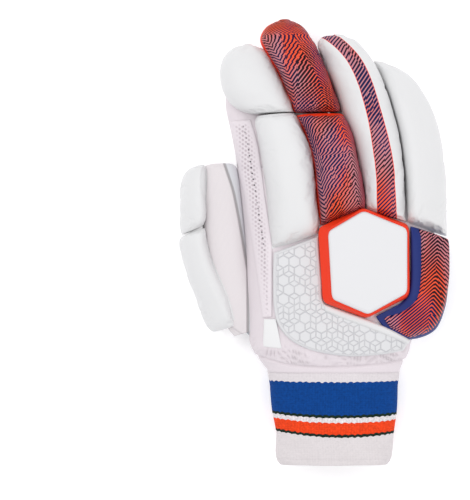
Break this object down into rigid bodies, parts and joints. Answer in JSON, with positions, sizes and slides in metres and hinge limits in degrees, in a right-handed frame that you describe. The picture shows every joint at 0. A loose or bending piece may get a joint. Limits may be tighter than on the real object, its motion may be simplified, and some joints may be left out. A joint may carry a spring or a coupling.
{
  "type": "cricket batting glove",
  "caption": "Right-hand padded cricket batting glove: hollow hand and finger stalls, finger rolls, knuckle shield, thumb and side guards, knitted open cuff.",
  "frame": {"origin": "middle of the footprint, on the surface that the palm rests on", "axes": "+Y towards the fingertips, +Z out of the back of the hand, -X towards the thumb"},
  "size_m": [0.1786, 0.295, 0.0634],
  "materials": {
    "cloth": "fine knitted cotton, white with a faint pink cast",
    "mesh": "knitted mesh with small holes",
    "knit": "ribbed elastic knit, white with blue, orange and dark bands",
    "strap": "coated webbing, white",
    "palm_leather": "soft pale blue-white leather",
    "white_facing": "soft white synthetic leather, slight sheen",
    "patterned_facing": "synthetic leather printed with orange and navy herringbone",
    "striped_facing": "white synthetic leather with a printed herringbone stripe",
    "shield_face": "smooth white synthetic leather",
    "orange_facing": "bright orange synthetic leather",
    "blue_facing": "blue synthetic leather",
    "embossed_facing": "white synthetic leather with an embossed cube lattice",
    "tag": "white woven tag"
  },
  "bodies": {
    "root": {"hand_shell": "cloth", "thumb_stall": "cloth", "stall_index": "cloth", "stall_middle": "cloth", "stall_ring": "cloth", "stall_little": "cloth", "side_gusset": "mesh", "cuff": "knit", "wrist_strap": "strap", "palm_strip": "palm_leather", "thumb_patch": "palm_leather", "index_roll_tip": "white_facing", "index_roll_base": "white_facing", "middle_roll_tip": "patterned_facing", "middle_roll_base": "patterned_facing", "ring_roll": "striped_facing", "little_roll": "white_facing", "thumb_guard_tip": "white_facing", "thumb_guard_base": "white_facing", "knuckle_shield": "shield_face", "knuckle_shield_rim": "orange_facing", "side_guard": "patterned_facing", "side_guard_rim": "blue_facing", "lattice_panel": "embossed_facing", "panel_welt": "white_facing", "label_tag": "tag"}
  },
  "joints": []
}
